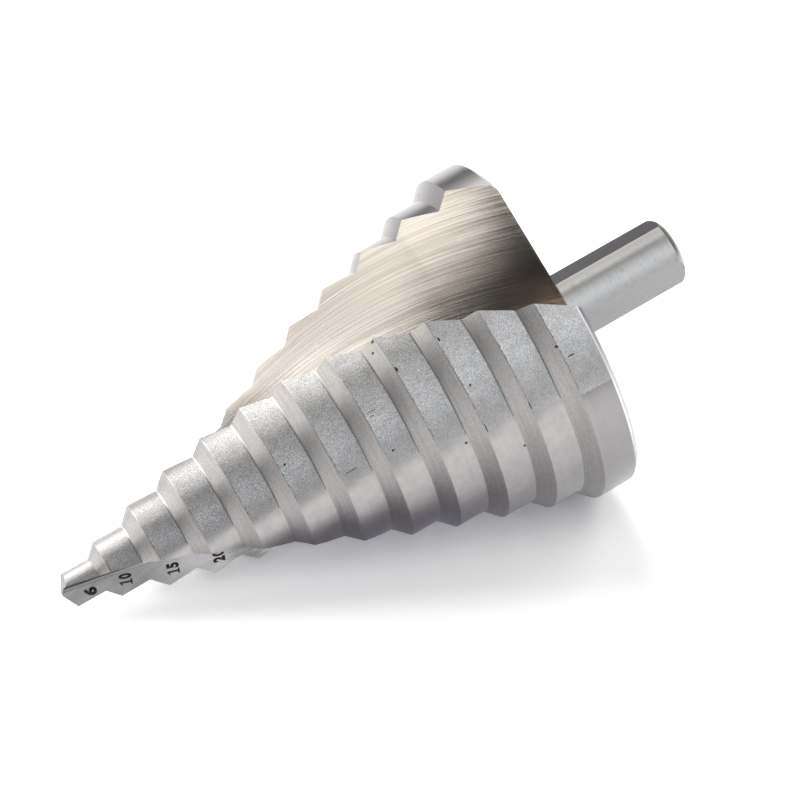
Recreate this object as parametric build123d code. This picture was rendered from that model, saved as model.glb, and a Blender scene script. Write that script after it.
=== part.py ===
"""Step drill: twelve steps from 6 to 60 mm, two helical flutes, a round shank with three flats.

The tool is one piece of high-speed steel.  It is made in its grinding frame, with the middle of
the point at the origin and the shank up +Z, and is then laid on its side as it comes to rest: on
one heel corner of the largest step and on one cutting edge at the crests of two middle steps.
"""
from build123d import *
import math
import os

# ---------------------------------------------------------------- driving dimensions (mm, degrees)
# Point
POINT_ANGLE = 125.0             # included angle of the two lips
POINT_RELIEF = 12.0             # how steeply each end face falls away behind its lip

# Steps
FIRST_STEP_DIAMETER = 6.0
SECOND_STEP_DIAMETER = 10.0
STEP_INCREMENT = 5.0            # growth in diameter of each later step
STEP_COUNT = 12
FIRST_LAND_LENGTH = 5.1         # cylindrical length of the 6 mm step
LAND_LENGTH = 5.25              # cylindrical length of each middle step
LAST_LAND_LENGTH = 5.9          # cylindrical length of the 60 mm step
STEP_CONE_ANGLE = 46.5          # slope of the cone between two steps, from the axis
REAR_CHAMFER = 0.65             # on the back rim of the 60 mm step

# Shank
SHANK_DIAMETER = 12.0
SHANK_LENGTH = 25.4
SHANK_CHAMFER = 1.0
SHANK_CHAMFER_CROWN = 4.0       # radius of the slight dome that tumbling leaves on the chamfer
FLAT_COUNT = 3
FLAT_DEPTH = 0.6                # how far each flat lies in from the round
FLAT_DIRECTION = 83.3           # direction the first flat faces, about the axis

# Flutes: each lies between the rake face of one land and the heel wall of the land ahead of it
FLUTE_COUNT = 2
FLUTE_LEAD = 358.0              # axial length of one full turn, right-handed
RAKE_DIRECTION = 62.5           # direction of the first rake face at the point, about the axis
WEB_HALF_THICKNESS = 0.6        # how far each cutting edge stands ahead of the axis
HOOK_ANGLE = 18.0               # lean of the rake face at the back of the body, none at the point
WALL_FOOT_AT_POINT = -0.6       # where the heel wall meets the line of the rake face, from the axis
WALL_FOOT_AT_THIRD = 5.6        # the same, one third of the way to the back of the body
WALL_FOOT_AT_TWO_THIRDS = 14.2
WALL_FOOT_AT_BACK = 22.4
WALL_LEAN = 0.15                # how far the heel wall leans back, per mm of its height
ROOT_FILLET = 0.8

# ---------------------------------------------------------------- making allowances
OVERRUN = 4.0                   # how far the cutters run past the ends of the body
SECTION_SPACING = 8.0           # between the sections that the flutes are lofted through


# ---------------------------------------------------------------- sizes that follow
def step_radius(step):
    """Radius of a step, counted from 1 at the point."""
    if step == 1:
        return FIRST_STEP_DIAMETER / 2
    return (SECOND_STEP_DIAMETER + (step - 2) * STEP_INCREMENT) / 2


def land_length(step):
    """Cylindrical length of a step."""
    if step == 1:
        return FIRST_LAND_LENGTH
    if step == STEP_COUNT:
        return LAST_LAND_LENGTH
    return LAND_LENGTH


def cone_length(step):
    """Axial length of the cone that leads up to a step."""
    rise = step_radius(step) - step_radius(step - 1)
    return rise / math.tan(math.radians(STEP_CONE_ANGLE))


BODY_RADIUS = step_radius(STEP_COUNT)
SHANK_RADIUS = SHANK_DIAMETER / 2
LIP_SLOPE = 1 / math.tan(math.radians(POINT_ANGLE / 2))
RELIEF_SLOPE = math.tan(math.radians(POINT_RELIEF))
LIP_REACH = math.sqrt(step_radius(1) ** 2 - WEB_HALF_THICKNESS**2)
LIP_HEIGHT = LIP_REACH * LIP_SLOPE - WEB_HALF_THICKNESS * RELIEF_SLOPE

land_starts = {1: LIP_HEIGHT}
for step in range(2, STEP_COUNT + 1):
    land_starts[step] = land_starts[step - 1] + land_length(step - 1) + cone_length(step)
LAST_LAND_END = land_starts[STEP_COUNT] + LAST_LAND_LENGTH
BODY_LENGTH = LAST_LAND_END + REAR_CHAMFER
TOTAL_LENGTH = BODY_LENGTH + SHANK_LENGTH
CREST_SLOPE = (BODY_RADIUS - step_radius(1)) / (land_starts[STEP_COUNT] - land_starts[1])


# ---------------------------------------------------------------- turned body
def turned_blank():
    """The twelve steps and the shank as one turned solid, still blunt ahead of the point."""
    end_face_radius = SHANK_RADIUS - SHANK_CHAMFER
    chamfer_start = (SHANK_RADIUS, TOTAL_LENGTH - SHANK_CHAMFER)
    chamfer_end = (end_face_radius, TOTAL_LENGTH)
    outline = [chamfer_end, (0, TOTAL_LENGTH), (0, -OVERRUN / 2), (step_radius(1), -OVERRUN / 2)]
    for step in range(1, STEP_COUNT + 1):
        if step > 1:
            outline.append((step_radius(step), land_starts[step]))
        outline.append((step_radius(step), land_starts[step] + land_length(step)))
    outline.append((BODY_RADIUS - REAR_CHAMFER, BODY_LENGTH))
    outline.append((SHANK_RADIUS, BODY_LENGTH))
    outline.append(chamfer_start)
    domed_chamfer = RadiusArc(chamfer_start, chamfer_end, -SHANK_CHAMFER_CROWN)
    profile = Plane.XZ * make_face(Polyline(*outline) + domed_chamfer)
    return revolve(profile, Axis.Z)


# ---------------------------------------------------------------- flutes
def rake_direction(height):
    """Direction of the first rake face at one height, about the axis."""
    return RAKE_DIRECTION + 360 * height / FLUTE_LEAD


def section_plane(height):
    """Plane across the tool, with its X along the rake face and its Y into the land."""
    turn = math.radians(rake_direction(height))
    return Plane(origin=(0, 0, height), x_dir=(math.cos(turn), math.sin(turn), 0), z_dir=(0, 0, 1))


def hook_slope(height):
    """Lean of the rake face at one height, growing from the point to the back of the body."""
    return math.tan(math.radians(HOOK_ANGLE * max(height, 0) / BODY_LENGTH))


def rake_face_y(height, outward):
    """Y of the rake face in the section plane, at a distance outward from the axis."""
    crest_radius = step_radius(1) + (height - LIP_HEIGHT) * CREST_SLOPE
    return (crest_radius - outward) * hook_slope(height) - WEB_HALF_THICKNESS


def wall_foot(height):
    """Distance from the axis at which the heel wall meets the line of the rake face."""
    feet = [WALL_FOOT_AT_POINT, WALL_FOOT_AT_THIRD, WALL_FOOT_AT_TWO_THIRDS, WALL_FOOT_AT_BACK]
    place = 3 * height / BODY_LENGTH
    total = 0
    for number, foot in enumerate(feet):
        share = 1
        for other in range(len(feet)):
            if other != number:
                share *= (place - other) / (number - other)
        total += share * foot
    return total


def flute_section(height):
    """Cross-section of the groove at one height: rake face, rounded root and heel wall."""
    reach = 1.3 * BODY_RADIUS
    foot = wall_foot(height)
    root_y = rake_face_y(height, foot) / (1 + WALL_LEAN * hook_slope(height))
    root = (foot + WALL_LEAN * root_y, root_y)
    rake_end = (reach, rake_face_y(height, reach))
    wall_end = (foot - WALL_LEAN * reach, -reach)
    section = make_face(Polyline(root, rake_end, (reach, -reach), wall_end, close=True))
    root_corner = section.vertices().sort_by_distance((*root, 0))[0]
    return section_plane(height) * fillet(root_corner, ROOT_FILLET)


def flute_cut():
    """One helical groove, from ahead of the point to behind the last step."""
    length = BODY_LENGTH + 2 * OVERRUN
    count = math.ceil(length / SECTION_SPACING)
    return loft([flute_section(number * length / count - OVERRUN) for number in range(count + 1)])


# ---------------------------------------------------------------- point and shank
def end_face_plane(turn):
    """Plane of the end face behind one lip, facing the shank."""
    plane = Plane(origin=(0, 0, 0), z_dir=(-LIP_SLOPE, -RELIEF_SLOPE, 1))
    return plane.rotated((0, 0, rake_direction(LIP_HEIGHT) + turn))


def flat_cut(direction):
    """The metal that lies outside one flat of the shank."""
    stock = Box(
        SHANK_RADIUS,
        2 * SHANK_RADIUS,
        SHANK_LENGTH + OVERRUN,
        align=(Align.MIN, Align.CENTER, Align.MIN),
    )
    return stock.translate((SHANK_RADIUS - FLAT_DEPTH, 0, BODY_LENGTH)).rotate(Axis.Z, direction)


# ---------------------------------------------------------------- the whole tool
def step_drill():
    """The finished tool, in its grinding frame."""
    tool = turned_blank()
    groove = flute_cut()
    for number in range(FLUTE_COUNT):
        turn = number * 360 / FLUTE_COUNT
        tool -= groove.rotate(Axis.Z, turn)
        tool = split(tool, bisect_by=end_face_plane(turn), keep=Keep.TOP)
    for number in range(FLAT_COUNT):
        tool -= flat_cut(FLAT_DIRECTION + number * 360 / FLAT_COUNT)
    return tool


# ---------------------------------------------------------------- how it comes to rest
def corner_near(tool, radius, height, direction):
    """The corner of the tool nearest to a place given about the axis."""
    turn = math.radians(direction)
    place = (radius * math.cos(turn), radius * math.sin(turn), height)
    return tool.vertices().sort_by_distance(place)[0].center()


def edge_corner(tool, step):
    """Corner where the second cutting edge crosses the crest of a step."""
    behind = math.degrees(math.asin(WEB_HALF_THICKNESS / step_radius(step)))
    direction = rake_direction(land_starts[step]) + 360 / FLUTE_COUNT - behind
    return corner_near(tool, step_radius(step), land_starts[step], direction)


def heel_corner(tool):
    """Corner at the heel of the first land, on the crest of the last step."""
    height = land_starts[STEP_COUNT]
    across = wall_foot(height) / math.sqrt(1 + WALL_LEAN**2)
    behind = math.degrees(math.acos(across / BODY_RADIUS) + math.atan(WALL_LEAN))
    direction = rake_direction(height) + 360 / FLUTE_COUNT - behind
    return corner_near(tool, BODY_RADIUS, height, direction)


def laid_down(tool):
    """The tool lying on its three contact corners, with its point towards -X."""
    first = edge_corner(tool, STEP_COUNT - 4)
    second = edge_corner(tool, STEP_COUNT - 3)
    up = (second - first).cross(heel_corner(tool) - first).normalized()
    if (tool.center(CenterOf.MASS) - first).dot(up) < 0:
        up = up * -1
    along = Vector(0, 0, 1) - up * up.Z
    tool = Plane(origin=first, x_dir=along, z_dir=up).to_local_coords(tool)
    middle = tool.bounding_box().center()
    return tool.translate((-middle.X, -middle.Y, 0))


if __name__ == "__main__":
    os.makedirs("parts", exist_ok=True)
    export_step(laid_down(step_drill()), "parts/step_drill.step")
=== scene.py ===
"""Looks of the step drill: ground high-speed steel, lying on a pale floor."""
import math

import bmesh
import bpy
from mathutils import Matrix, Vector
from mathutils.bvhtree import BVHTree


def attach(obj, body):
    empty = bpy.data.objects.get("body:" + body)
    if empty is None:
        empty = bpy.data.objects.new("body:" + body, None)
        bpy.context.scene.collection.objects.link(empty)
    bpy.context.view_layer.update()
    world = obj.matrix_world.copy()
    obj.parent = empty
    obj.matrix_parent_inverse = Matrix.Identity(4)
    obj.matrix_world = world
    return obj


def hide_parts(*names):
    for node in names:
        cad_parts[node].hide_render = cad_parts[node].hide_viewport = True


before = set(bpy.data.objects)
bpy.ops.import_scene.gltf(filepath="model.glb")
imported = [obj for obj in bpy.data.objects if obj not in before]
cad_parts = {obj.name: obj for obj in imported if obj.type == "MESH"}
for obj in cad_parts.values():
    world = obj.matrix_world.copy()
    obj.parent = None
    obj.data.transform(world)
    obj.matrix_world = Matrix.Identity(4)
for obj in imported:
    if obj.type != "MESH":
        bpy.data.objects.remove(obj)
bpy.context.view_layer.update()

MM = 0.001

# ---------------------------------------------------------------- sizes of the tool, in metres
# The steps' radii in millimetres: the first, the second, and the rise of each one after it
STEP_COUNT = 12
FIRST_RADIUS = 3
SECOND_RADIUS = 5
RADIUS_RISE = 2.5
STEP_RADII = [FIRST_RADIUS * MM]
STEP_RADII += [(SECOND_RADIUS + RADIUS_RISE * number) * MM for number in range(STEP_COUNT - 1)]
POINT_ANGLE = math.radians(125.0)
POINT_RELIEF = math.radians(12.0)
FIRST_LAND = 5.1 * MM
LAND = 5.25 * MM
LAST_LAND = 5.9 * MM
STEP_CONE = math.radians(46.5)
REAR_CHAMFER = 0.65 * MM
SHANK_RADIUS = 6 * MM
SHANK_LENGTH = 25.4 * MM
SHANK_CHAMFER = 1.0 * MM
SHANK_CHAMFER_CROWN = 4.0 * MM
FLAT_DEPTH = 0.6 * MM
FLAT_DIRECTION = math.radians(83.3)
FLUTE_LEAD = 358 * MM
RAKE_DIRECTION = math.radians(62.5)
WEB_HALF = 0.6 * MM
HOOK = math.radians(18.0)
WALL_FEET = [-0.6 * MM, 5.6 * MM, 14.2 * MM, 22.4 * MM]
WALL_LEAN = 0.15
ROOT_FILLET = 0.8 * MM

# Where the tool lies
POINT_PLACE = Vector((-56.8365 * MM, 0, 4.9341 * MM))
AXIS_RISE = math.radians(15.3333)
DOWN_DIRECTION = math.radians(291.6404)

LIP_SLOPE = 1 / math.tan(POINT_ANGLE / 2)
RELIEF_SLOPE = math.tan(POINT_RELIEF)
LIP_HEIGHT = math.sqrt(STEP_RADII[0] ** 2 - WEB_HALF**2) * LIP_SLOPE - WEB_HALF * RELIEF_SLOPE

land_starts = [LIP_HEIGHT]
land_ends = [LIP_HEIGHT + FIRST_LAND]
for number in range(1, STEP_COUNT):
    rise = STEP_RADII[number] - STEP_RADII[number - 1]
    land_starts.append(land_ends[-1] + rise / math.tan(STEP_CONE))
    land_ends.append(land_starts[-1] + (LAST_LAND if number == STEP_COUNT - 1 else LAND))
BODY_RADIUS = STEP_RADII[-1]
BODY_LENGTH = land_ends[-1] + REAR_CHAMFER
TOTAL_LENGTH = BODY_LENGTH + SHANK_LENGTH
CREST_SLOPE = (BODY_RADIUS - STEP_RADII[0]) / (land_starts[-1] - land_starts[0])

# From the grinding frame, with the axis along +Z, to the way the tool lies
LAY_DOWN = (
    Matrix.Translation(POINT_PLACE)
    @ Matrix.Rotation(math.pi / 2 - AXIS_RISE, 4, "Y")
    @ Matrix.Rotation(-DOWN_DIRECTION, 4, "Z")
)
AXIS = LAY_DOWN.to_3x3() @ Vector((0, 0, 1))


# ---------------------------------------------------------------- small helpers
def new_object(name, mesh_data):
    """A new object at the origin that holds the mesh."""
    piece = bpy.data.objects.new(name, mesh_data)
    bpy.context.scene.collection.objects.link(piece)
    return piece


def mesh_from(bm, name):
    """Writes a bmesh to a new mesh and frees it."""
    data = bpy.data.meshes.new(name)
    bm.to_mesh(data)
    bm.free()
    return data


def evaluated_mesh(piece):
    """The mesh of a piece with its modifiers applied."""
    graph = bpy.context.evaluated_depsgraph_get()
    return bpy.data.meshes.new_from_object(piece.evaluated_get(graph), depsgraph=graph)


# ---------------------------------------------------------------- turned body
LAND_SLOT, CONE_SLOT, FLUTE_SLOT, SHANK_SLOT, POINT_SLOT, FLAT_SLOT = range(6)
CREST_ROUND = 0.06 * MM         # worn rounding on the edge of each step
CORNER_ROUND = 0.12 * MM        # left by the wheel where a cone starts
CORNER_MIDDLE = (0.45, 0.1)     # middle of that rounding, outward and along, as shares of it
BLUNT_START = -2 * MM           # the blank starts in front of the point, which is cut later
CHAMFER_STEPS = 5
SPIN_STEPS = 288


def domed_chamfer():
    """Points of the shank's end chamfer, an arc that bulges outward a little."""
    start = Vector((SHANK_RADIUS, TOTAL_LENGTH - SHANK_CHAMFER))
    end = Vector((SHANK_RADIUS - SHANK_CHAMFER, TOTAL_LENGTH))
    half = (end - start).length / 2
    inward = Vector((-1, -1)).normalized() * math.sqrt(SHANK_CHAMFER_CROWN**2 - half**2)
    centre = (start + end) / 2 + inward
    points = []
    for step in range(1, CHAMFER_STEPS + 1):
        spoke = (start.lerp(end, step / CHAMFER_STEPS) - centre).normalized() * SHANK_CHAMFER_CROWN
        points.append((centre.x + spoke.x, centre.y + spoke.y, SHANK_SLOT))
    return points


def outline():
    """Points of the turned profile as (radius, height, slot of the stretch that ends there)."""
    points = [(0, BLUNT_START, LAND_SLOT), (STEP_RADII[0], BLUNT_START, LAND_SLOT)]
    sin_cone, cos_cone = math.sin(STEP_CONE), math.cos(STEP_CONE)
    middle_out, middle_along = CORNER_MIDDLE
    for number in range(1, STEP_COUNT):
        foot_radius = STEP_RADII[number - 1]
        foot_height = land_ends[number - 1]
        radius = STEP_RADII[number]
        height = land_starts[number]
        points += [
            (foot_radius, foot_height - CORNER_ROUND, LAND_SLOT),
            (foot_radius + CORNER_ROUND * sin_cone * middle_out,
             foot_height + CORNER_ROUND * middle_along, CONE_SLOT),
            (foot_radius + CORNER_ROUND * sin_cone, foot_height + CORNER_ROUND * cos_cone, CONE_SLOT),
            (radius - CREST_ROUND * sin_cone, height - CREST_ROUND * cos_cone, CONE_SLOT),
            (radius, height + CREST_ROUND, CONE_SLOT),
        ]
    points.append((BODY_RADIUS, land_ends[-1], LAND_SLOT))
    points.append((BODY_RADIUS - REAR_CHAMFER, BODY_LENGTH, CONE_SLOT))
    points.append((SHANK_RADIUS, BODY_LENGTH, SHANK_SLOT))
    points.append((SHANK_RADIUS, TOTAL_LENGTH - SHANK_CHAMFER, SHANK_SLOT))
    points.extend(domed_chamfer())
    points.append((0, TOTAL_LENGTH, SHANK_SLOT))
    return points


def turned_body():
    """The steps and the shank, spun from the profile."""
    bm = bmesh.new()
    points = outline()
    verts = [bm.verts.new((radius, 0, height)) for radius, height, _ in points]
    edges = [bm.edges.new(pair) for pair in zip(verts, verts[1:])]
    bmesh.ops.spin(
        bm, geom=verts + edges, axis=(0, 0, 1), cent=(0, 0, 0),
        angle=2 * math.pi, steps=SPIN_STEPS, use_merge=True, use_duplicate=False,
    )
    bmesh.ops.remove_doubles(bm, verts=bm.verts, dist=1e-7)
    bmesh.ops.recalc_face_normals(bm, faces=bm.faces)
    slot_at = [(height, slot) for _, height, slot in points]
    for face in bm.faces:
        height = face.calc_center_median().z
        face.material_index = next(
            (slot for top, slot in slot_at if height < top + 1e-9), SHANK_SLOT
        )
    return mesh_from(bm, "turned_body")


# ---------------------------------------------------------------- cutters
CUTTER_REACH = 1.3 * BODY_RADIUS
CUTTER_OVERRUN = 4 * MM         # past both ends of the body, and past the shank's end
CUTTER_SECTIONS = 120
FACE_SHARES = (0.25, 0.5, 0.75, 1.0)
ROOT_STEPS = 6
WEDGE = 20 * MM


def rake_direction(height):
    """Direction of the first rake face about the axis, which turns with the helix."""
    return RAKE_DIRECTION + 2 * math.pi * height / FLUTE_LEAD


def hook_slope(height):
    """How much the rake face leans, which grows along the body."""
    return math.tan(HOOK * max(height, 0) / BODY_LENGTH)


def rake_face_y(height, outward):
    """Place of the rake face across its own direction, at one distance out from the axis."""
    crest = STEP_RADII[0] + (height - LIP_HEIGHT) * CREST_SLOPE
    return (crest - outward) * hook_slope(height) - WEB_HALF


def wall_foot(height):
    """Distance from the axis at which the heel wall meets the line of the rake face."""
    place = 3 * height / BODY_LENGTH
    total = 0
    for number, foot in enumerate(WALL_FEET):
        share = 1
        for other in range(len(WALL_FEET)):
            if other != number:
                share *= (place - other) / (number - other)
        total += share * foot
    return total


def flute_outline(height):
    """The groove's section at one height: rake face, rounded root and heel wall."""
    foot = wall_foot(height)
    root_y = rake_face_y(height, foot) / (1 + WALL_LEAN * hook_slope(height))
    root = Vector((foot + WALL_LEAN * root_y, root_y))
    rake_end = Vector((CUTTER_REACH, rake_face_y(height, CUTTER_REACH)))
    wall_end = Vector((foot - WALL_LEAN * CUTTER_REACH, -CUTTER_REACH))
    along_rake = (rake_end - root).normalized()
    along_wall = (wall_end - root).normalized()
    half = along_rake.angle(along_wall) / 2
    back = ROOT_FILLET / math.tan(half)
    centre = root + (along_rake + along_wall).normalized() * ROOT_FILLET / math.sin(half)
    points = [rake_end]
    for share in FACE_SHARES[-2::-1]:
        points.append(root + along_rake * (back + share**2 * ((rake_end - root).length - back)))
    first = root + along_rake * back - centre
    last = root + along_wall * back - centre
    for number in range(ROOT_STEPS + 1):
        swing = first.slerp(last, number / ROOT_STEPS)
        points.append(centre + swing.normalized() * ROOT_FILLET)
    for share in FACE_SHARES:
        points.append(root + along_wall * (back + share**2 * ((wall_end - root).length - back)))
    points.append(Vector((CUTTER_REACH, -CUTTER_REACH)))
    return points


def flute_cutter(turn):
    """Solid that one grinding wheel sweeps out, bridged from section to section."""
    bm = bmesh.new()
    rings = []
    for number in range(CUTTER_SECTIONS + 1):
        height = -CUTTER_OVERRUN + number * (BODY_LENGTH + 2 * CUTTER_OVERRUN) / CUTTER_SECTIONS
        spin = Matrix.Rotation(rake_direction(height) + turn, 4, "Z")
        verts = [bm.verts.new(spin @ Vector((p.x, p.y, height))) for p in flute_outline(height)]
        edges = [bm.edges.new((verts[i], verts[(i + 1) % len(verts)])) for i in range(len(verts))]
        rings.append(edges)
    for lower, upper in zip(rings, rings[1:]):
        for low, high in zip(lower, upper):
            bm.faces.new((low.verts[0], low.verts[1], high.verts[1], high.verts[0]))
    bmesh.ops.holes_fill(bm, edges=rings[0] + rings[-1], sides=0)
    bmesh.ops.recalc_face_normals(bm, faces=bm.faces)
    for face in bm.faces:
        face.material_index = FLUTE_SLOT
    return mesh_from(bm, "flute_cutter")


def point_cutter(turn):
    """Wedge that grinds the end face behind one lip."""
    bm = bmesh.new()
    bmesh.ops.create_cube(bm, size=WEDGE)
    for vert in bm.verts:
        vert.co.z -= WEDGE / 2
    for vert in bm.verts:
        vert.co.z += vert.co.x * LIP_SLOPE + vert.co.y * RELIEF_SLOPE
    spin = Matrix.Rotation(rake_direction(LIP_HEIGHT) + turn, 4, "Z")
    bmesh.ops.transform(bm, matrix=spin, verts=bm.verts)
    for face in bm.faces:
        face.material_index = POINT_SLOT
    return mesh_from(bm, "point_cutter")


def flat_cutter(turn):
    """Block of metal outside one flat of the shank."""
    bm = bmesh.new()
    bmesh.ops.create_cube(bm, size=1)
    length = SHANK_LENGTH + CUTTER_OVERRUN
    bmesh.ops.scale(bm, vec=(SHANK_RADIUS, 2.4 * SHANK_RADIUS, length), verts=bm.verts)
    middle = BODY_LENGTH + length / 2
    bmesh.ops.translate(bm, vec=(1.5 * SHANK_RADIUS - FLAT_DEPTH, 0, middle), verts=bm.verts)
    spin = Matrix.Rotation(FLAT_DIRECTION + turn, 4, "Z")
    bmesh.ops.transform(bm, matrix=spin, verts=bm.verts)
    for face in bm.faces:
        face.material_index = FLAT_SLOT
    return mesh_from(bm, "flat_cutter")


def cut(piece, cutter_mesh):
    """Takes one cutter away from the piece for good."""
    cutter = new_object("cutter", cutter_mesh)
    modifier = piece.modifiers.new("cut", "BOOLEAN")
    modifier.operation = "DIFFERENCE"
    modifier.solver = "EXACT"
    modifier.object = cutter
    modifier.material_mode = "INDEX"
    result = evaluated_mesh(piece)
    piece.modifiers.clear()
    piece.data = result
    bpy.data.objects.remove(cutter)


# ---------------------------------------------------------------- nodes
class Nodes:
    """Short way to add and join nodes in one tree."""

    def __init__(self, tree):
        self.tree = tree

    def add(self, kind, *inputs, **settings):
        """A new node; inputs are values or sockets in socket order, None leaves one alone."""
        node = self.tree.nodes.new(kind)
        for name, value in settings.items():
            setattr(node, name, value)
        for socket, value in zip(node.inputs, inputs):
            if isinstance(value, bpy.types.NodeSocket):
                self.tree.links.new(value, socket)
            elif value is not None:
                socket.default_value = value
        return node

    def link(self, value, socket):
        """Joins an output to an input."""
        self.tree.links.new(value, socket)

    def math(self, operation, *inputs):
        """The result of one Math node."""
        return self.add("ShaderNodeMath", *inputs, operation=operation).outputs[0]

    def times(self, first, *others):
        """The product of all the values."""
        for other in others:
            first = self.math("MULTIPLY", first, other)
        return first

    def most(self, first, *others):
        """The largest of all the values."""
        for other in others:
            first = self.math("MAXIMUM", first, other)
        return first

    def ramp(self, value, low, high, start=0.0, end=1.0):
        """Runs smoothly from start at low to end at high, and holds beyond them."""
        numbers = (low, high, start, end)
        node = self.add("ShaderNodeMapRange", value, *numbers, interpolation_type="SMOOTHSTEP")
        return node.outputs[0]

    def vector(self, x, y, z):
        """Three values joined to a vector."""
        return self.add("ShaderNodeCombineXYZ", x, y, z).outputs[0]

    def noise(self, place, detail, roughness):
        """Noise whose features are about one unit of the place in size."""
        node = self.add("ShaderNodeTexNoise")
        self.link(place, node.inputs["Vector"])
        node.inputs["Scale"].default_value = 1.0
        node.inputs["Detail"].default_value = detail
        node.inputs["Roughness"].default_value = roughness
        return node.outputs[0]

    def mix(self, share, first, second):
        """Mixes two colours; each is a socket or three numbers."""
        node = self.add("ShaderNodeMix", share, data_type="RGBA")
        for socket, value in zip(node.inputs[6:8], (first, second)):
            if isinstance(value, bpy.types.NodeSocket):
                self.link(value, socket)
            else:
                socket.default_value = (*value, 1)
        return node.outputs[2]


def drill_places():
    """Node group that gives a point's place on the drill, in millimetres and degrees.

    Along runs from the point to the shank, Radius out from the axis, Turn about the axis, Round X
    and Round Y are the turn as a unit vector, Flute U and Flute V lie along and across the rake
    face, and turn with the flutes.
    """
    group = bpy.data.node_groups.new("drill_places", "ShaderNodeTree")
    for name in ("Along", "Radius", "Turn", "Round X", "Round Y", "Flute U", "Flute V"):
        group.interface.new_socket(name, in_out="OUTPUT", socket_type="NodeSocketFloat")
    n = Nodes(group)
    place = n.add("ShaderNodeTexCoord").outputs["Object"]
    stand_up = LAY_DOWN.inverted()
    mapping = n.add("ShaderNodeMapping", place)
    mapping.inputs["Location"].default_value = stand_up.to_translation() / MM
    mapping.inputs["Rotation"].default_value = stand_up.to_euler("XYZ")
    mapping.inputs["Scale"].default_value = (1 / MM, 1 / MM, 1 / MM)
    split = n.add("ShaderNodeSeparateXYZ", mapping.outputs[0])
    x, y, along = split.outputs
    radius = n.math("SQRT", n.math("ADD", n.times(x, x), n.times(y, y)))
    turn = n.math("DEGREES", n.math("ARCTAN2", y, x))
    safe = n.math("MAXIMUM", radius, 0.01)
    helix = n.math("MULTIPLY_ADD", along, -DEGREES_PER_MM, turn)
    around = n.math("RADIANS", n.math("SUBTRACT", helix, math.degrees(RAKE_DIRECTION)))
    out = n.add("NodeGroupOutput")
    results = (
        along, radius, turn, n.math("DIVIDE", x, safe), n.math("DIVIDE", y, safe),
        n.times(radius, n.math("COSINE", around)), n.times(radius, n.math("SINE", around)),
    )
    for socket, value in zip(out.inputs, results):
        n.link(value, socket)
    return group


DEGREES_PER_MM = 360 / (FLUTE_LEAD / MM)     # how far the flutes turn along the axis
PLACES = drill_places()


def steel(name, roughness, streaked=0.0):
    """A new steel material with its node helper, its places and its shader.

    Streaked is how much the grinding lines round the axis stretch a highlight along it.
    """
    material = bpy.data.materials.new(name)
    material.use_nodes = True
    n = Nodes(material.node_tree)
    shader = material.node_tree.nodes["Principled BSDF"]
    shader.inputs["Metallic"].default_value = 1.0
    shader.inputs["Roughness"].default_value = roughness
    shader.inputs["Anisotropic"].default_value = streaked
    if streaked:
        n.link(n.vector(*AXIS), shader.inputs["Tangent"])
    group = material.node_tree.nodes.new("ShaderNodeGroup")
    group.node_tree = PLACES
    return material, n, group.outputs, shader


# ---------------------------------------------------------------- patterns on the steel
# Dents and scratches: millimetres along the drill, degrees about it, half sizes along and round
MARKS = [
    (62, 140, 0.22, 0.45), (69.8, 139.5, 0.2, 0.4), (61.3, 124, 0.25, 0.25), (60.5, 127.5, 0.2, 0.25),
    (74.4, -168.5, 0.25, 0.25), (70.5, 159.5, 0.22, 0.2), (55.5, 149.5, 1.0, 0.07),
    (55.2, 151.5, 0.5, 0.06), (48.6, 171, 1.3, 0.07), (69.7, 176.5, 0.1, 0.8),
    (77.1, 175, 0.1, 0.9), (66.3, -179, 0.3, 0.2), (40, 150.5, 0.25, 0.2), (55.6, 170, 0.2, 0.2),
    (84.5, 161, 0.3, 0.25), (86, 165.5, 0.6, 0.14), (83.2, 67.5, 0.3, 0.25), (82.9, 69.5, 0.2, 0.2),
]
PIT_SHARE = 0.3                 # share of all places for a pit that have one
EDGE_MARGIN = 4                 # degrees in front of a cutting edge that belong to its lobe


def wrapped(n, at, along, around):
    """A place for a texture that closes round the axis, stretched by along and around."""
    return n.vector(along, n.times(at["Round X"], around), n.times(at["Round Y"], around))


def turning_lines(n, at, fineness, length=1.6):
    """Fine lines that run round the axis, from 0 to 1, about 0.5 on average."""
    sweep = n.math("MULTIPLY_ADD", at["Radius"], 0.6, at["Along"])
    return n.noise(wrapped(n, at, n.times(sweep, fineness), length), detail=3.0, roughness=0.65)


def grain(n, at, size, detail=2.0, stretch=1.0):
    """Speckle of about one size, in millimetres, longer round the axis by the stretch."""
    wide = n.times(at["Radius"], 1 / (size * stretch))
    place = wrapped(n, at, n.times(at["Along"], 1 / size), wide)
    return n.noise(place, detail=detail, roughness=0.6)


def pits(n, at, spacing, size):
    """Small dark marks, 1 inside one: round spots in random places."""
    wide = n.times(at["Radius"], 1 / spacing)
    cells = n.add("ShaderNodeTexVoronoi", wrapped(n, at, n.times(at["Along"], 1 / spacing), wide))
    inside = n.ramp(cells.outputs["Distance"], 0.6 * size / spacing, size / spacing, 1, 0)
    pick = n.add("ShaderNodeSeparateXYZ", cells.outputs["Color"]).outputs[0]
    return n.times(inside, n.math("LESS_THAN", pick, PIT_SHARE))


def marks(n, at):
    """The worst dents and scratches, each with its own place, 1 inside one."""
    ragged = n.times(n.math("SUBTRACT", grain(n, at, 0.3), 0.5), 1.4)
    found = []
    for along, turn, long, wide in MARKS:
        over = n.times(n.math("SUBTRACT", at["Along"], along), 1 / long)
        degrees = n.math("SUBTRACT", at["Turn"], turn)
        round_way = n.times(degrees, at["Radius"], math.radians(1) / wide)
        off = n.math("SQRT", n.math("ADD", n.times(over, over), n.times(round_way, round_way)))
        found.append(n.ramp(n.math("ADD", off, ragged), 0.75, 1.1, 1, 0))
    return n.most(*found)


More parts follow.
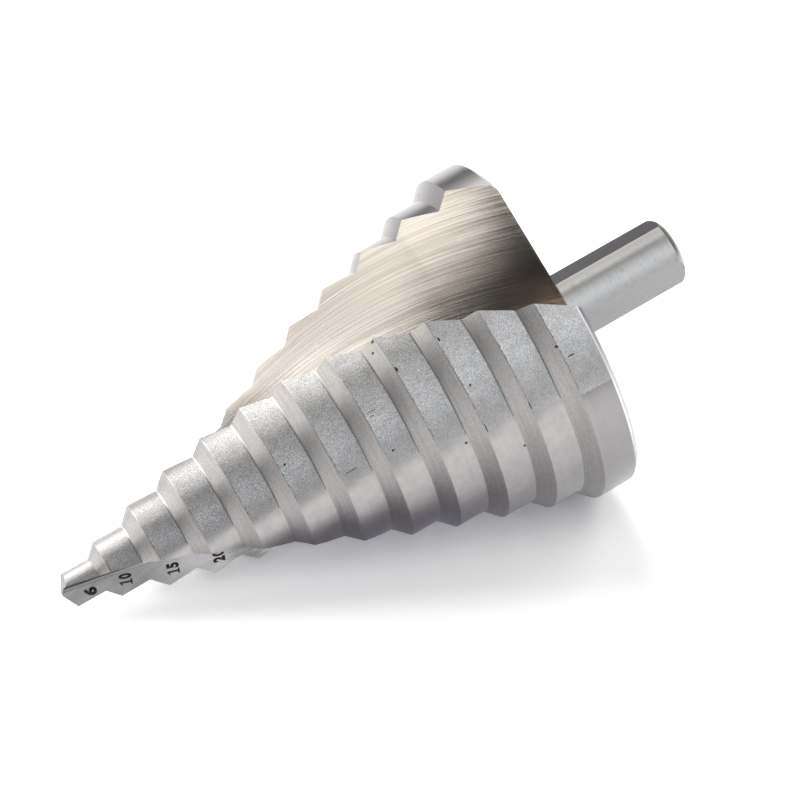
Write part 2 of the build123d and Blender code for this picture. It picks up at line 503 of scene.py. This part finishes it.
def bump(n, shader, height, distance, strength):
    """Raises the surface by a height from 0 to 1, times the distance in millimetres."""
    node = n.add("ShaderNodeBump")
    node.inputs["Strength"].default_value = strength
    node.inputs["Distance"].default_value = distance * MM
    n.link(height, node.inputs["Height"])
    n.link(node.outputs[0], shader.inputs["Normal"])


def in_step(n, at):
    """How far a point lies past the start of its own step, along the axis, in millimetres."""
    first = land_starts[1] / MM
    pitch = (land_starts[2] - land_starts[1]) / MM
    return n.math("MODULO", n.math("SUBTRACT", at["Along"], first - 3 * pitch), pitch)


def lobe_turn(n, at):
    """Degrees about the drill, the same on both lobes, from one cutting edge to the other."""
    start = math.degrees(RAKE_DIRECTION) - EDGE_MARGIN
    edge = n.math("MULTIPLY_ADD", at["Along"], DEGREES_PER_MM, start)
    past = n.math("MODULO", n.math("SUBTRACT", n.math("ADD", at["Turn"], 720), edge), 180)
    return n.math("ADD", past, edge)


# ---------------------------------------------------------------- lands and cones
# Colours; of a pair, the grain or the lines run from the first to the second
MATTE_AT_POINT = (0.20, 0.20, 0.203), (0.45, 0.448, 0.45)
MATTE_AT_SHANK = (0.35, 0.35, 0.35), (0.70, 0.697, 0.70)
MATTE_SHADE = (0.26, 0.257, 0.262)
# Painted highlight and painted shade of the lands near the tip
TIP_PAINTED_HIGHLIGHT = (0.62, 0.615, 0.61)
TIP_PAINTED_SHADE = (0.08, 0.08, 0.082)
HEEL = (0.30, 0.289, 0.293), (0.335, 0.323, 0.327)
HEEL_CLOUD = (0.35, 0.338, 0.342)
# Painted shade of the heel's underside, also its darker tone on the last step
HEEL_DARK_AND_PAINTED_SHADE = (0.22, 0.214, 0.222)
# Painted highlight along the rear edge of the last land
LAND_REAR_EDGE_HIGHLIGHT = (0.88, 0.87, 0.89)
# Dark of the lands' dents and chips, and of the painted shade in their corners
LAND_WEAR_AND_CORNER_SHADE = (0.05, 0.047, 0.046)
CONE = (0.25, 0.242, 0.24), (0.345, 0.337, 0.334)
CONE_STAIN = (0.22, 0.205, 0.198)
# Painted shade of the cones' underside
CONE_PAINTED_SHADE = (0.175, 0.17, 0.18)
# Painted highlight at the foot of each cone
CONE_FOOT_HIGHLIGHT = (0.6, 0.585, 0.57)
REAR_CHAMFER_GREY = (0.5, 0.49, 0.52)
CONE_MARK = (0.06, 0.056, 0.055)

# Degrees by lobe_turn over which the painted highlight of the upper side gives way to the shaded
# side, and over which the painted shade of the underside sets in
UPPER_SIDE = (112, 128)
UNDERSIDE = (235, 265)

LAND_LENGTH = LAND / MM
HEEL_ROUGHNESS = 0.29
MATTE_EXTRA_ROUGHNESS = 0.08
PATCH_END = 174.7               # degrees at the point, and how they grow along the drill
PATCH_DRIFT = 0.0435


def patch_share(n, at, turn):
    """1 on the matte patch behind a cutting edge and 0 on the heel, with a ragged border."""
    patch_end = n.math("MULTIPLY_ADD", at["Along"], PATCH_DRIFT, PATCH_END)
    wander = n.times(n.math("SUBTRACT", grain(n, at, 0.35), 0.5), 1.6)
    return n.ramp(n.math("ADD", n.math("SUBTRACT", patch_end, turn), wander), -0.1, 0.2)


def matte_colour(n, at, turn, speckle, cloud):
    """Colour of the matte patch, paler towards the shank; near the tip it has a painted highlight on
    its upper side and painted shade further round.
    """
    tip = n.ramp(at["Along"], 6, 22, 1, 0)
    at_point = n.mix(speckle, *MATTE_AT_POINT)
    at_shank = n.mix(speckle, *MATTE_AT_SHANK)
    matte = n.mix(n.ramp(at["Along"], 15, 90), at_point, at_shank)
    matte = n.mix(n.times(n.ramp(cloud, 0.35, 0.7), 0.25), matte, MATTE_SHADE)
    matte = n.mix(n.times(n.ramp(turn, 158, 176), 0.5), matte, MATTE_SHADE)
    # Near the tip: a painted highlight on the upper side, then painted shade further round
    matte = n.mix(n.times(tip, n.ramp(turn, 105, 142, 0.38, 0)), matte, TIP_PAINTED_HIGHLIGHT)
    return n.mix(n.times(tip, n.ramp(turn, 132, 165, 0, 0.4)), matte, TIP_PAINTED_SHADE)


def heel_colour(n, at, turn, lines, cloud):
    """Colour of the smooth heel, with painted shade underneath, and darker on the last step."""
    smooth = n.mix(n.ramp(lines, 0.3, 0.7), *HEEL)
    smooth = n.mix(n.ramp(cloud, 0.3, 0.7), smooth, HEEL_CLOUD)
    # painted shade on the underside, which faces the floor
    smooth = n.mix(n.ramp(turn, *UNDERSIDE), smooth, HEEL_DARK_AND_PAINTED_SHADE)
    return n.mix(n.ramp(at["Along"], 82, 86, 0, 0.55), smooth, HEEL_DARK_AND_PAINTED_SHADE)


def land_wear(n, at, turn, patch):
    """Dark marks of the lands, 1 inside one: painted shade in the corner at a cone on its shaded
    side, chipped crests and dents.
    """
    place = in_step(n, at)
    past_first = n.math("GREATER_THAN", at["Along"], land_starts[1] / MM)
    before_last = n.math("LESS_THAN", at["Along"], land_starts[-1] / MM)
    # painted shade in the concave corner where a cone starts, on the matte patch past the upper side
    corner_shade = n.times(
        n.ramp(place, LAND_LENGTH - 0.32, LAND_LENGTH - 0.12), past_first, before_last,
        patch, n.ramp(turn, *UPPER_SIDE), 0.85,
    )
    crest = n.ramp(place, 0.06, 0.22, 1, 0)
    worn = n.ramp(grain(n, at, 0.45, 2.0, 1.4), 0.54, 0.58)
    chips = n.times(worn, crest, patch, n.ramp(turn, 135, 150))
    return n.most(corner_shade, chips, pits(n, at, 4.0, 0.14), marks(n, at))


def land_steel():
    """The steps' rims: a matte speckled patch behind each cutting edge, then a smoother heel."""
    material, n, at, shader = steel("step_land_steel", HEEL_ROUGHNESS, 0.3)
    turn = lobe_turn(n, at)
    patch = patch_share(n, at, turn)
    speckle = n.ramp(grain(n, at, 0.1, 2.0, 2.2), 0.38, 0.62)
    cloud = grain(n, at, 1.6)
    lines = turning_lines(n, at, 3.5)
    matte = matte_colour(n, at, turn, speckle, cloud)
    colour = n.mix(patch, heel_colour(n, at, turn, lines, cloud), matte)
    # painted highlight: a bright line along the rear edge of the last land, fading out towards the
    # underside
    rear = n.ramp(at["Along"], land_ends[-1] / MM - 0.32, land_ends[-1] / MM - 0.15)
    colour = n.mix(n.times(rear, n.ramp(turn, 195, 225, 0.8, 0)), colour, LAND_REAR_EDGE_HIGHLIGHT)
    wear_and_shade = land_wear(n, at, turn, patch)
    n.link(n.mix(wear_and_shade, colour, LAND_WEAR_AND_CORNER_SHADE), shader.inputs["Base Color"])
    rough = n.math("MULTIPLY_ADD", patch, MATTE_EXTRA_ROUGHNESS, HEEL_ROUGHNESS)
    n.link(rough, shader.inputs["Roughness"])
    height = n.math("MULTIPLY_ADD", lines, 0.35, n.times(speckle, patch))
    bump(n, shader, n.math("SUBTRACT", height, wear_and_shade), 0.02, 0.5)
    return material


def cone_steel():
    """The cones between the steps and the back of the body, with the lines of their grinding, painted
    shade underneath and a painted highlight at each foot on the upper side.
    """
    material, n, at, shader = steel("step_cone_steel", 0.38, 0.7)
    turn = lobe_turn(n, at)
    speckle = grain(n, at, 0.2, 2.0, 1.3)
    shade = n.math("MULTIPLY_ADD", speckle, 0.5, n.times(turning_lines(n, at, 5.0), 0.5))
    colour = n.mix(n.ramp(shade, 0.35, 0.65), *CONE)
    stain = n.times(n.ramp(grain(n, at, 1.3, 3.0), 0.5, 0.75), 0.4)
    colour = n.mix(stain, colour, CONE_STAIN)
    # painted shade on the underside, which faces the floor
    colour = n.mix(n.ramp(turn, *UNDERSIDE), colour, CONE_PAINTED_SHADE)
    # painted highlight in the rounded corner at each cone's foot, on the upper side only
    foot = n.ramp(in_step(n, at), LAND_LENGTH, LAND_LENGTH + 0.25, 1, 0)
    colour = n.mix(n.times(foot, n.ramp(turn, *UPPER_SIDE, 1, 0)), colour, CONE_FOOT_HIGHLIGHT)
    rear = n.math("GREATER_THAN", at["Along"], land_ends[-1] / MM)
    colour = n.mix(rear, colour, REAR_CHAMFER_GREY)
    dents = n.most(pits(n, at, 5.0, 0.16), marks(n, at))
    n.link(n.mix(dents, colour, CONE_MARK), shader.inputs["Base Color"])
    bump(n, shader, n.math("SUBTRACT", shade, dents), 0.02, 0.5)
    return material


# ---------------------------------------------------------------- flutes, shank and point
WALL_AT_POINT = (0.25, 0.23, 0.21), (0.33, 0.31, 0.288)
WALL_AT_SHANK = (0.46, 0.42, 0.375), (0.62, 0.585, 0.535)
RAKE_AT_POINT = (0.165, 0.158, 0.156), (0.225, 0.217, 0.215)
RAKE_AT_SHANK = (0.46, 0.452, 0.455), (0.56, 0.552, 0.555)
BURNT_BROWN = (0.15, 0.118, 0.108)
STRAW = (0.62, 0.47, 0.33)
FLUTE_REAR_EDGE = (0.9, 0.88, 0.84)
SHANK_GREY = (0.42, 0.42, 0.422), (0.48, 0.48, 0.482)
# Painted shade of the shank's upper side
SHANK_PAINTED_SHADE = (0.25, 0.244, 0.236)
SHANK_STAIN = (0.24, 0.215, 0.19)
FLAT_GREY = (0.255, 0.251, 0.256), (0.30, 0.296, 0.301)
# Painted dark reflection of the flat that faces up and back
FLAT_PAINTED_REFLECTION = (0.014, 0.011, 0.02), (0.034, 0.029, 0.045)
POINT_GREY = (0.19, 0.185, 0.18), (0.25, 0.245, 0.238)


def wheel_lines(n, at):
    """Fine lines and broad waves that the wheel left along the flutes."""
    lean = n.math("MULTIPLY_ADD", at["Flute V"], 0.12, at["Flute U"])
    depth = n.math("MULTIPLY_ADD", at["Along"], -0.245, lean)
    across = n.times(at["Flute V"], 3.2)
    fine = n.vector(across, n.times(depth, 0.25), n.times(at["Along"], 0.016))
    broad = n.vector(n.times(across, 0.22), n.times(depth, 0.1), n.times(at["Along"], 0.01))
    return n.noise(fine, detail=3.0, roughness=0.75), n.noise(broad, detail=2.0, roughness=0.5)


def flute_colour(n, at, lines):
    """A creamy heel wall and a greyer rake face, both paler towards the shank."""
    streak = n.ramp(lines, 0.35, 0.65)
    at_point, at_shank = n.mix(streak, *WALL_AT_POINT), n.mix(streak, *WALL_AT_SHANK)
    wall = n.mix(n.ramp(at["Along"], 48, 84), at_point, at_shank)
    streak = n.ramp(lines, 0.3, 0.7)
    at_point, at_shank = n.mix(streak, *RAKE_AT_POINT), n.mix(streak, *RAKE_AT_SHANK)
    rake = n.mix(n.ramp(at["Along"], 8, 32), at_point, at_shank)
    return n.mix(n.ramp(at["Flute V"], -0.9, -0.3), wall, rake)


def heated(n, at, colour):
    """The colour with the wheel's heat marks at the back of a flute, and its pale rear edge."""
    brown = n.times(n.ramp(at["Along"], 68, 94), n.ramp(at["Flute V"], -17, -7), 0.75)
    colour = n.mix(brown, colour, BURNT_BROWN)
    warm = n.times(n.ramp(at["Along"], 82, 92), n.ramp(at["Flute V"], -9, -4), 0.7)
    colour = n.mix(warm, colour, STRAW)
    rear = n.ramp(at["Along"], BODY_LENGTH / MM - 0.25, BODY_LENGTH / MM - 0.1)
    return n.mix(n.times(rear, n.ramp(at["Flute V"], -12, -9)), colour, FLUTE_REAR_EDGE)


def flute_steel():
    """The flutes, bright and creamy, with lines that follow the wheel along them."""
    material, n, at, shader = steel("ground_flute_steel", 0.2)
    lines, waves = wheel_lines(n, at)
    n.link(heated(n, at, flute_colour(n, at, lines)), shader.inputs["Base Color"])
    bump(n, shader, n.math("MULTIPLY_ADD", waves, 0.8, lines), 0.042, 1.0)
    return material


def shank_steel():
    """The turned shank, with painted shade along its upper and back side, and its end."""
    material, n, at, shader = steel("shank_steel", 0.38, 0.3)
    lines = turning_lines(n, at, 4.0, 0.9)
    colour = n.mix(n.ramp(lines, 0.25, 0.75), *SHANK_GREY)
    # painted shade along the upper and back side, kept off the end face
    upper = n.times(n.ramp(at["Turn"], -60, -40, 0, 0.9), n.ramp(at["Turn"], 112, 130, 1, 0))
    colour = n.mix(n.times(upper, n.ramp(at["Radius"], 4.8, 5.0)), colour, SHANK_PAINTED_SHADE)
    stain = n.times(n.ramp(grain(n, at, 0.9, 3.0), 0.56, 0.7), 0.3)
    n.link(n.mix(stain, colour, SHANK_STAIN), shader.inputs["Base Color"])
    bump(n, shader, lines, 0.015, 0.4)
    return material


def flat_steel():
    """The three flats of the shank; the one facing up and back has a painted dark reflection."""
    material, n, at, shader = steel("shank_flat_steel", 0.3)
    speckle = n.ramp(grain(n, at, 0.25, 3.0), 0.3, 0.7)
    # painted dark reflection on the flat that faces up and back
    dark_reflection_flat = n.times(n.math("GREATER_THAN", at["Turn"], 40), n.math("LESS_THAN", at["Turn"], 130))
    colour = n.mix(dark_reflection_flat, n.mix(speckle, *FLAT_GREY), n.mix(speckle, *FLAT_PAINTED_REFLECTION))
    n.link(colour, shader.inputs["Base Color"])
    return material


def point_steel():
    """The small end faces behind the lips."""
    material, n, at, shader = steel("point_steel", 0.32)
    speckle = n.ramp(grain(n, at, 0.15), 0.3, 0.7)
    n.link(n.mix(speckle, *POINT_GREY), shader.inputs["Base Color"])
    return material


# ---------------------------------------------------------------- the drill
drill = new_object("step_drill_steel", turned_body())
STEEL = [land_steel(), cone_steel(), flute_steel(), shank_steel(), point_steel(), flat_steel()]
for material in STEEL:
    drill.data.materials.append(material)
for turn in (0, math.pi):
    cut(drill, flute_cutter(turn))
    cut(drill, point_cutter(turn))
for number in range(3):
    cut(drill, flat_cutter(number * 2 * math.pi / 3))
steel_surface = BVHTree.FromPolygons(
    [vert.co for vert in drill.data.vertices], [face.vertices for face in drill.data.polygons]
)
drill.data.transform(LAY_DOWN)
for face in drill.data.polygons:
    face.use_smooth = True
drill.data.set_sharp_from_angle(angle=math.radians(20))
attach(drill, "root")
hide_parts("step_drill")

# ---------------------------------------------------------------- size numbers
NUMBER_HEIGHT = 2.15 * MM
NUMBER_PROUD = 0.02 * MM        # above the steel, and the same below it
SHEET = 0.02                    # thickness of a figure before it is laid on, as a share of its height
PAIR_WEIGHT = 0.055             # how much the strokes are thickened, as a share of the size
SIX_WEIGHT = 0.05               # a 6 that is thickened more than this breaks open
LONE_WIDTH = 0.64               # width of a figure that stands alone, as a share of the height
PAIR_WIDTH = 0.41               # width and pitch of the figures in a pair, the same way
PAIR_PITCH = 0.46
LONE_INSET = 1.25 * MM          # from the cutting edge to the middle of the figures
PAIR_INSET = 2.15 * MM
NUMBER_BACK = 1.75 * MM         # from the start of the land, and the least from the point
FIRST_NUMBER = 4.25 * MM
NUMBER_TURN = -math.atan(CREST_SLOPE)    # the numbers stand square to the line of the crests
ONE_OUTLINE = [
    (-0.5, -0.5), (0.5, -0.5), (0.5, -0.38), (0.2, -0.34), (0.2, 0.5), (-0.06, 0.5),
    (-0.5, 0.34), (-0.46, 0.24), (-0.16, 0.32), (-0.16, -0.34), (-0.5, -0.38),
]


def figure(sign):
    """The flat mesh of one figure, one unit high and wide, its middle at the origin."""
    bm = bmesh.new()
    if sign == "1":
        bm.faces.new([bm.verts.new((x, y, 0)) for x, y in ONE_OUTLINE])
        return bm
    curve = bpy.data.curves.new("figure", "FONT")
    curve.body = sign
    curve.offset = SIX_WEIGHT if sign == "6" else PAIR_WEIGHT
    writing = new_object("figure", curve)
    bm.from_mesh(evaluated_mesh(writing))
    bpy.data.objects.remove(writing)
    bmesh.ops.remove_doubles(bm, verts=bm.verts, dist=1e-5)
    low = Vector([min(vert.co[i] for vert in bm.verts) for i in range(3)])
    high = Vector([max(vert.co[i] for vert in bm.verts) for i in range(3)])
    bmesh.ops.translate(bm, vec=-(low + high) / 2, verts=bm.verts)
    bmesh.ops.scale(bm, vec=(1 / (high.x - low.x), 1 / (high.y - low.y), 1), verts=bm.verts)
    return bm


def sized_figure(sign, width, shift):
    """One figure as a thin plate of its real size, moved along its number and turned with it."""
    bm = figure(sign)
    bmesh.ops.scale(bm, vec=(width, 1, 1), verts=bm.verts)
    bmesh.ops.translate(bm, vec=(shift, 0, 0), verts=bm.verts)
    bmesh.ops.solidify(bm, geom=bm.faces, thickness=SHEET)
    bmesh.ops.scale(bm, vec=(NUMBER_HEIGHT,) * 3, verts=bm.verts)
    bmesh.ops.rotate(bm, matrix=Matrix.Rotation(NUMBER_TURN, 3, "Z"), verts=bm.verts)
    return bm


def on_rake_face(across, height, proud, turn):
    """A point over the rake face, across from the axis, raised off the steel by proud."""
    spin = Matrix.Rotation(rake_direction(height) + turn, 4, "Z")
    face = spin @ Vector((across, rake_face_y(height, across), height))
    outward = spin.to_3x3() @ Vector((0, -1, 0))
    hit = steel_surface.ray_cast(face + outward * ROOT_FILLET, -outward)[0]
    return (hit or face) + outward * proud


def step_numbers(turn):
    """The diameter of each step in plain figures, on the rake face of one flute."""
    whole = bmesh.new()
    for number in range(STEP_COUNT):
        text = str(round(2 * STEP_RADII[number] / MM))
        lone = len(text) == 1
        middle = max(land_starts[number] + NUMBER_BACK, FIRST_NUMBER)
        centre = STEP_RADII[number] - (LONE_INSET if lone else PAIR_INSET)
        for place, sign in enumerate(text):
            shift = (place - (len(text) - 1) / 2) * PAIR_PITCH
            bm = sized_figure(sign, LONE_WIDTH if lone else PAIR_WIDTH, shift)
            for vert in bm.verts:
                proud = NUMBER_PROUD if abs(vert.co.z) < 1e-7 else -NUMBER_PROUD
                vert.co = on_rake_face(centre - vert.co.x, middle - vert.co.y, proud, turn)
            whole.from_mesh(mesh_from(bm, "figure"))
    bmesh.ops.recalc_face_normals(whole, faces=whole.faces)
    return mesh_from(whole, "step_numbers")


def number_black():
    """The dark oxide that the marking leaves on the steel."""
    material = bpy.data.materials.new("number_black")
    material.use_nodes = True
    shader = material.node_tree.nodes["Principled BSDF"]
    shader.inputs["Base Color"].default_value = (0.012, 0.012, 0.013, 1)
    shader.inputs["Roughness"].default_value = 0.55
    return material


numbers = new_object("step_numbers", step_numbers(math.pi))
numbers.data.materials.append(number_black())
numbers.data.transform(LAY_DOWN)
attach(numbers, "root")

# ---------------------------------------------------------------- floor, light and camera
FLOOR_SIZE = 20.0
FLOOR_TONE = 0.8
FLOOR_SEEN = 1.6
CARD_TINT = (1.0, 0.95, 1.12)
WARM = (1.0, 0.98, 0.95)
PLAIN = (1.0, 1.0, 1.0)
COOL = (0.96, 0.98, 1.0)
ROOM_LEVEL = 0.05
PANEL_EDGE = 4
# Each panel: azimuth and elevation of its middle, width and height, all in degrees, level, tint
PANELS = [
    (95, 33, 56, 26, 3.3, WARM),
    (155, 32, 80, 24, 1.8, WARM),
    (143, 7, 60, 14, 4.6, WARM),
    (100, 16, 50, 16, 1.2, WARM),
    (120, 72, 60, 16, 3.8, WARM),
    (110, 54, 80, 20, 1.9, WARM),
    (270, 48, 60, 36, 1.7, COOL),
    (240, 72, 60, 16, 2.0, PLAIN),
    (280, 18, 46, 22, 1.2, COOL),
    (5, 55, 60, 24, 2.2, PLAIN),
]
CAMERA_PLACE = Vector((-171.406 * MM, -311.894 * MM, 350.219 * MM))
CAMERA_AHEAD = Vector((0.362442, 0.642289, -0.675352))
CAMERA_RIGHT = Vector((0.881184, -0.472172, 0.023849))
CAMERA_LENS = 132.56
CAMERA_SENSOR = 36


def bare_material(name):
    """A new material with an empty node tree."""
    material = bpy.data.materials.new(name)
    material.use_nodes = True
    material.node_tree.nodes.clear()
    return material, Nodes(material.node_tree)


def stage_card(name, width, height, place, facing):
    """A flat card of the studio, with its face turned towards a direction."""
    bm = bmesh.new()
    bmesh.ops.create_grid(bm, x_segments=1, y_segments=1, size=0.5)
    bmesh.ops.scale(bm, vec=(width, height, 1), verts=bm.verts)
    turn = Vector(facing).to_track_quat("Z", "Y").to_matrix().to_4x4()
    bmesh.ops.transform(bm, matrix=Matrix.Translation(place) @ turn, verts=bm.verts)
    card = new_object(name, mesh_from(bm, name))
    return card


def dark_card(name, width, height, place, facing, tone):
    """A dark card that only the steel's reflections see, and that fades out round its middle."""
    card = stage_card(name, width, height, place, facing)
    material, n = bare_material(name)
    colour = [tone * channel for channel in CARD_TINT]
    glow = n.add("ShaderNodeEmission", (*colour, 1), 1.0)
    spot = n.add("ShaderNodeTexCoord").outputs["Object"]
    off = n.add("ShaderNodeVectorMath", spot, place, operation="DISTANCE").outputs["Value"]
    clear = n.add("ShaderNodeBsdfTransparent")
    fade = n.ramp(off, 0.2 * width, 0.5 * width, 1, 0)
    blend = n.add("ShaderNodeMixShader", fade, clear.outputs[0], glow.outputs[0])
    n.add("ShaderNodeOutputMaterial", blend.outputs[0])
    card.data.materials.append(material)
    card.visible_camera = False
    card.visible_diffuse = False
    card.visible_transmission = False
    card.visible_shadow = False


def pale_floor():
    """White floor that keeps the shadow; it is brighter to the camera and in reflections."""
    material, n = bare_material("pale_floor")
    path = n.add("ShaderNodeLightPath").outputs
    seen = n.most(path["Is Camera Ray"], path["Is Glossy Ray"], path["Is Transmission Ray"])
    tone = n.mix(seen, (FLOOR_TONE,) * 3, (FLOOR_SEEN,) * 3)
    matt = n.add("ShaderNodeBsdfDiffuse", tone)
    n.add("ShaderNodeOutputMaterial", matt.outputs[0])
    return material


def soft_panel(n, azimuth, elevation, panel, base):
    """Adds one soft-edged panel of light to the surroundings, seen from the drill."""
    middle, rise, width, height, level, tint = panel
    off = n.math("MODULO", n.math("ADD", azimuth, 540 - middle), 360)
    off = n.math("ABSOLUTE", n.math("SUBTRACT", off, 180))
    across = n.ramp(off, width / 2 - PANEL_EDGE, width / 2 + PANEL_EDGE, 1, 0)
    off = n.math("ABSOLUTE", n.math("SUBTRACT", elevation, rise))
    along = n.ramp(off, height / 2 - PANEL_EDGE, height / 2 + PANEL_EDGE, 1, 0)
    glow = n.add("ShaderNodeVectorMath", tint, operation="SCALE")
    n.link(n.times(across, along, level), glow.inputs["Scale"])
    return n.add("ShaderNodeVectorMath", base, glow.outputs[0], operation="ADD").outputs[0]


def studio():
    """Surroundings of a dim room with soft light panels."""
    world = bpy.data.worlds.new("studio")
    world.use_nodes = True
    world.node_tree.nodes.clear()
    n = Nodes(world.node_tree)
    direction = n.add("ShaderNodeTexCoord").outputs["Generated"]
    x, y, z = n.add("ShaderNodeSeparateXYZ", direction).outputs
    azimuth = n.math("DEGREES", n.math("ARCTAN2", y, x))
    elevation = n.math("DEGREES", n.math("ARCSINE", z))
    light = n.vector(ROOM_LEVEL, ROOM_LEVEL, ROOM_LEVEL)
    for panel in PANELS:
        light = soft_panel(n, azimuth, elevation, panel, light)
    background = n.add("ShaderNodeBackground", light)
    n.add("ShaderNodeOutputWorld", background.outputs[0])
    return world


def studio_camera():
    """The camera, in the place from which the drill fills the picture."""
    lens = bpy.data.cameras.new("camera")
    lens.lens = CAMERA_LENS
    lens.sensor_width = CAMERA_SENSOR
    lens.clip_start = 0.01
    camera = new_object("camera", lens)
    up = CAMERA_RIGHT.cross(CAMERA_AHEAD)
    turn = Matrix((CAMERA_RIGHT, up, -CAMERA_AHEAD)).transposed().to_4x4()
    camera.matrix_world = Matrix.Translation(CAMERA_PLACE) @ turn
    return camera


floor = stage_card("floor", FLOOR_SIZE, FLOOR_SIZE, (0, 0, 0), (0, 0, 1))
floor.data.materials.append(pale_floor())
dark_card("back_card", 0.34, 0.075, (0.16, 0.52, 0.036), (-0.16, -0.52, 0), 0.09)
# Painted shadow: a dark card on the floor under the drill, seen only in the steel's reflections
dark_card("painted_shadow_card", 0.08, 0.08, (-0.006, -0.006, 0.0004), (0, 0, 1), 0.28)
bpy.context.scene.world = studio()
bpy.context.scene.camera = studio_camera()
bpy.context.scene.view_settings.view_transform = "Standard"
